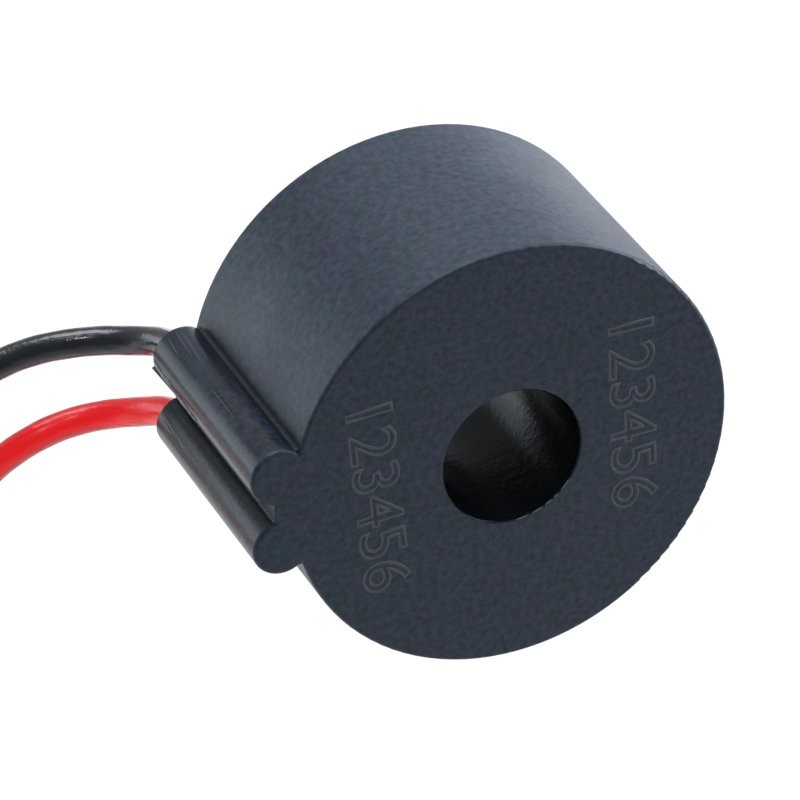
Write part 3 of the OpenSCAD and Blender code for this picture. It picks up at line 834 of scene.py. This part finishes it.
tinned, tree = finish_named("solder_dipped_copper")
place = node(tree, "ShaderNodeTexCoord").outputs["Object"]
ripple = node(tree, "ShaderNodeTexNoise", Vector=place, Scale=per_mm(RIPPLE_MM), Detail=3.0)
tone = node(tree, "ShaderNodeMix", {"data_type": "RGBA"}, Factor=ripple.outputs["Fac"],
            A=tint("#a9adb2"), B=tint("#d6d9dc"))
dull = node(tree, "ShaderNodeMapRange", Value=ripple.outputs["Fac"], To_Min=0.2, To_Max=0.45)
bump = node(tree, "ShaderNodeBump", Height=ripple.outputs["Fac"], Strength=0.3, Distance=RIPPLE_DEPTH)
metal = node(tree, "ShaderNodeBsdfPrincipled", Base_Color=tone.outputs["Result"], Metallic=1.0,
             Roughness=dull.outputs["Result"], Normal=bump.outputs["Normal"])
node(tree, "ShaderNodeOutputMaterial", Surface=metal.outputs["BSDF"])
for piece in tinned_ends.values():
    piece.data.materials.append(tinned)
print("ripples of", RIPPLE_MM, "mm on", ", ".join(p.name for p in tinned_ends.values()))

# %% [markdown]
# ## Potting epoxy
#
# The resin is poured black, finds its own level and cures glossy. Slow currents leave
# wide swirls that hardly differ in shade, with a shallow dip here and there. One noise,
# bent by its own distortion, gives both, on the potting and on its collars.

# %% Epoxy on the potting and the collars
SWIRL_MM = 2.5
SWIRL_DEPTH = 0.08 * MM

epoxy, tree = finish_named("cured_black_epoxy")
place = node(tree, "ShaderNodeTexCoord").outputs["Object"]
swirl = node(tree, "ShaderNodeTexNoise", Vector=place, Scale=per_mm(SWIRL_MM), Detail=2.0,
             Distortion=0.6)
tone = node(tree, "ShaderNodeMix", {"data_type": "RGBA"}, Factor=swirl.outputs["Fac"],
            A=tint("#0f1113"), B=tint("#1d2023"))
bump = node(tree, "ShaderNodeBump", Height=swirl.outputs["Fac"], Strength=0.4, Distance=SWIRL_DEPTH)
resin = node(tree, "ShaderNodeBsdfPrincipled", Base_Color=tone.outputs["Result"], Roughness=0.24,
             Normal=bump.outputs["Normal"])
node(tree, "ShaderNodeOutputMaterial", Surface=resin.outputs["BSDF"])
for piece in collars:
    piece.data.materials.append(epoxy)
give_finish("potting", epoxy)

# %% [markdown]
# ## What the potting hides
#
# None of the inner pieces shows, but a cut-away of the part will need them. The winding's
# turns run across the ring, so their ripple follows the angle round the window. The core
# is one strip wound up like a clock spring, so its ripple follows the radius. A sine of
# that angle or of that radius draws them.

# %% Wound copper
TURNS_DRAWN = 360
WIRE_DEPTH = 0.03 * MM

copper, tree = finish_named("enamelled_copper_turns")
parts = node(tree, "ShaderNodeSeparateXYZ", Vector=node(tree, "ShaderNodeTexCoord").outputs["Object"])
angle = node(tree, "ShaderNodeMath", {"operation": "ARCTAN2"}, i0=parts.outputs["Z"],
             i1=parts.outputs["X"])
count = node(tree, "ShaderNodeMath", {"operation": "MULTIPLY"}, i0=angle.outputs[0],
             i1=float(TURNS_DRAWN))
wires = node(tree, "ShaderNodeMath", {"operation": "SINE"}, i0=count.outputs[0])
level = node(tree, "ShaderNodeMapRange", Value=wires.outputs[0], From_Min=-1.0, From_Max=1.0)
tone = node(tree, "ShaderNodeMix", {"data_type": "RGBA"}, Factor=level.outputs["Result"],
            A=tint("#5c2410"), B=tint("#b85c2b"))
bump = node(tree, "ShaderNodeBump", Height=level.outputs["Result"], Strength=0.8, Distance=WIRE_DEPTH)
metal = node(tree, "ShaderNodeBsdfPrincipled", Base_Color=tone.outputs["Result"], Metallic=0.9,
             Roughness=0.3, Normal=bump.outputs["Normal"])
node(tree, "ShaderNodeOutputMaterial", Surface=metal.outputs["BSDF"])
give_finish("winding", copper)

# %% Wound strip
STRIP_MM = 0.06  # real strip is 0.02 mm and is drawn coarser so that it shows

strip, tree = finish_named("wound_magnetic_strip")
place = node(tree, "ShaderNodeTexCoord").outputs["Object"]
across = node(tree, "ShaderNodeVectorMath", {"operation": "MULTIPLY"}, i0=place, i1=(1.0, 0.0, 1.0))
radius = node(tree, "ShaderNodeVectorMath", {"operation": "LENGTH"}, i0=across.outputs["Vector"])
count = node(tree, "ShaderNodeMath", {"operation": "MULTIPLY"}, i0=radius.outputs["Value"],
             i1=2 * math.pi * per_mm(STRIP_MM))
layers = node(tree, "ShaderNodeMath", {"operation": "SINE"}, i0=count.outputs[0])
level = node(tree, "ShaderNodeMapRange", Value=layers.outputs[0], From_Min=-1.0, From_Max=1.0)
tone = node(tree, "ShaderNodeMix", {"data_type": "RGBA"}, Factor=level.outputs["Result"],
            A=tint("#54585d"), B=tint("#a4a9ae"))
metal = node(tree, "ShaderNodeBsdfPrincipled", Base_Color=tone.outputs["Result"], Metallic=1.0,
             Roughness=0.38)
node(tree, "ShaderNodeOutputMaterial", Surface=metal.outputs["BSDF"])
give_finish("core", strip)

# %% [markdown]
# ## Plain inner finishes
#
# Tape, core box, bare copper, solder and sleeves are all close to even, each with its own
# shade, gloss and size of patch. One function with those as its numbers makes them all.

# %% Tape, box, copper, solder and sleeves
INNER_DEPTH = 0.01 * MM


def even_finish(name, deep, pale, patch_mm, roughness, metallic=0.0):
    """Two close shades in patches of patch_mm, with the same patches as a faint relief."""
    made, tree = finish_named(name)
    place = node(tree, "ShaderNodeTexCoord").outputs["Object"]
    patch = node(tree, "ShaderNodeTexNoise", Vector=place, Scale=per_mm(patch_mm), Detail=2.0)
    tone = node(tree, "ShaderNodeMix", {"data_type": "RGBA"}, Factor=patch.outputs["Fac"],
                A=tint(deep), B=tint(pale))
    bump = node(tree, "ShaderNodeBump", Height=patch.outputs["Fac"], Strength=0.3, Distance=INNER_DEPTH)
    skin = node(tree, "ShaderNodeBsdfPrincipled", Base_Color=tone.outputs["Result"], Metallic=metallic,
                Roughness=roughness, Normal=bump.outputs["Normal"])
    node(tree, "ShaderNodeOutputMaterial", Surface=skin.outputs["BSDF"])
    return made


tape = even_finish("wrapped_polyester_tape", "#caa12c", "#e0bd4e", 1.2, 0.25)
box = even_finish("moulded_natural_polyester", "#d8d3c4", "#e9e5d9", 2.0, 0.45)
bare = even_finish("twisted_bare_copper", "#a45c33", "#d08a5c", 0.2, 0.3, 1.0)
solder = even_finish("hand_soldered_tin", "#9ea2a7", "#cfd2d5", 0.3, 0.28, 1.0)
black_sleeving = even_finish("shrunk_black_polyolefin", "#15171a", "#23262a", 0.6, 0.4)
red_sleeving = even_finish("shrunk_red_polyolefin", "#a51c25", "#c02a33", 0.6, 0.4)
INNER_FINISHES = {
    "winding_tape": tape, "core_box_base": box, "core_box_lid": box, "black_inner_end": bare,
    "red_inner_end": bare, "black_joint": solder, "red_joint": solder,
    "black_sleeve": black_sleeving, "red_sleeve": red_sleeving,
}
for piece_name, finish in INNER_FINISHES.items():
    give_finish(piece_name, finish)

# %% [markdown]
# ## The floor
#
# The part hangs in the air over a white sweep. Light Path lets the camera see the floor
# as white from every side without more light on the part, and a share of the plain floor
# stays in the mix so that its shadow is kept. Glossy and transmission rays see the floor
# white only behind the part. Nearer the camera it falls off to pale grey, which is what
# keeps a dark flat face dark.

# %% Floor
FLOOR_Z = -55 * MM
FLOOR_REACH = 4.0

corners = [(-1, -1), (1, -1), (1, 1), (-1, 1)]
floor_mesh = bpy.data.meshes.new("floor")
floor_mesh.from_pydata([(x * FLOOR_REACH, y * FLOOR_REACH, FLOOR_Z) for x, y in corners], [],
                       [(0, 1, 2, 3)])
floor = bpy.data.objects.new("floor", floor_mesh)
bpy.context.scene.collection.objects.link(floor)
print("floor lies", round(-FLOOR_Z / MM), "mm below the window's axis")

# %% Paper of the floor
WHITE_SHARE = 0.85
WHITE_STRENGTH = 1.12
DARK_UP_TO = -60 * MM
WHITE_FROM = 10 * MM

paper, tree = finish_named("matt_paper_sweep")
place = node(tree, "ShaderNodeTexCoord").outputs["Object"]
depth = node(tree, "ShaderNodeSeparateXYZ", Vector=place).outputs["Y"]
lit = node(tree, "ShaderNodeMapRange", {"interpolation_type": "SMOOTHSTEP"}, Value=depth,
           From_Min=DARK_UP_TO, From_Max=WHITE_FROM, To_Min=0.0, To_Max=WHITE_SHARE)
ray = node(tree, "ShaderNodeLightPath")
bent = node(tree, "ShaderNodeMath", {"operation": "MAXIMUM"}, i0=ray.outputs["Is Glossy Ray"],
            i1=ray.outputs["Is Transmission Ray"])
bent_share = node(tree, "ShaderNodeMath", {"operation": "MULTIPLY"}, i0=bent.outputs[0],
                  i1=lit.outputs["Result"])
direct_share = node(tree, "ShaderNodeMath", {"operation": "MULTIPLY"}, i0=ray.outputs["Is Camera Ray"],
                    i1=WHITE_SHARE)
share = node(tree, "ShaderNodeMath", {"operation": "MAXIMUM"}, i0=direct_share.outputs[0],
             i1=bent_share.outputs[0])
plain = node(tree, "ShaderNodeBsdfDiffuse", Color=tint("#c4c6c8"))
white = node(tree, "ShaderNodeEmission", Color=tint("#ffffff"), Strength=WHITE_STRENGTH)
both = node(tree, "ShaderNodeMixShader", i0=share.outputs[0], i1=plain.outputs["BSDF"],
            i2=white.outputs["Emission"])
node(tree, "ShaderNodeOutputMaterial", Surface=both.outputs["Shader"])
floor_mesh.materials.append(paper)
print("floor is white to the camera by a share of", WHITE_SHARE)

# %% [markdown]
# ## The room
#
# Wherever there is no lamp and no floor, the part mirrors the world and is lit by it. The
# camera sees it white. For all other rays it is dim, and a little less dim behind the
# part than in front, so a glancing view of the round wall has something pale to mirror.

# %% World
DIM_FRONT = 0.2
DIM_BEHIND = 0.45

room = bpy.data.worlds.new("room")
room.use_nodes = True
bpy.context.scene.world = room
tree = room.node_tree
tree.nodes.clear()
way = node(tree, "ShaderNodeTexCoord").outputs["Generated"]
across = node(tree, "ShaderNodeSeparateXYZ", Vector=way)
behind = node(tree, "ShaderNodeMapRange", {"interpolation_type": "SMOOTHSTEP"},
              Value=across.outputs["Y"], From_Min=-0.5, From_Max=0.5,
              To_Min=DIM_FRONT, To_Max=DIM_BEHIND)
ray = node(tree, "ShaderNodeLightPath")
seen = node(tree, "ShaderNodeMath", {"operation": "MAXIMUM"}, i0=ray.outputs["Is Camera Ray"],
            i1=behind.outputs["Result"])
sky = node(tree, "ShaderNodeBackground", Color=tint("#ffffff"), Strength=seen.outputs[0])
node(tree, "ShaderNodeOutputWorld", Surface=sky.outputs["Background"])
print("room strength:", DIM_FRONT, "in front and", DIM_BEHIND, "behind")

# %% [markdown]
# ## Lamps
#
# Five square softboxes light the part. The key hangs over it and a little behind. A
# second stands on the right and fills the top and the leads. A very small one over
# the camera draws the bright line along each glossy lead. Two stand low behind, one each
# side, and draw the pale edges of the round wall and the ribs.

# %% Softboxes
# direction from the part, distance in mm, side in mm, watts, colour
SOFTBOXES = {
    "key_softbox": ((0, 0.35, 0.93), 450, 250, 0.98, "#f4f7ff"),
    "right_softbox": ((1, 0, 0.5), 400, 250, 1.55, "#f7f7ff"),
    "glint_softbox": ((-0.14, -0.33, 0.93), 450, 32, 0.14, "#f4f7ff"),
    "right_rim_softbox": ((0.5, 0.85, 0.02), 400, 200, 0.18, "#eef3ff"),
    "left_rim_softbox": ((-0.65, 0.75, 0.08), 400, 200, 0.20, "#e4f2ff"),
}
AIM = Vector((-2, 0, -1)) * MM


def softbox(name, way, distance, size, watts, color):
    """A square area lamp that faces AIM from the given direction and distance."""
    lamp = bpy.data.lights.new(name, "AREA")
    lamp.shape = "SQUARE"
    lamp.size = size * MM
    lamp.energy = watts
    lamp.color = tint(color)[:3]
    holder = bpy.data.objects.new(name, lamp)
    holder.location = Vector(way).normalized() * distance * MM
    holder.rotation_euler = (AIM - holder.location).to_track_quat("-Z", "Y").to_euler()
    holder.visible_camera = False
    bpy.context.scene.collection.objects.link(holder)


for name, numbers in SOFTBOXES.items():
    softbox(name, *numbers)
print("lamps:", ", ".join(SOFTBOXES))
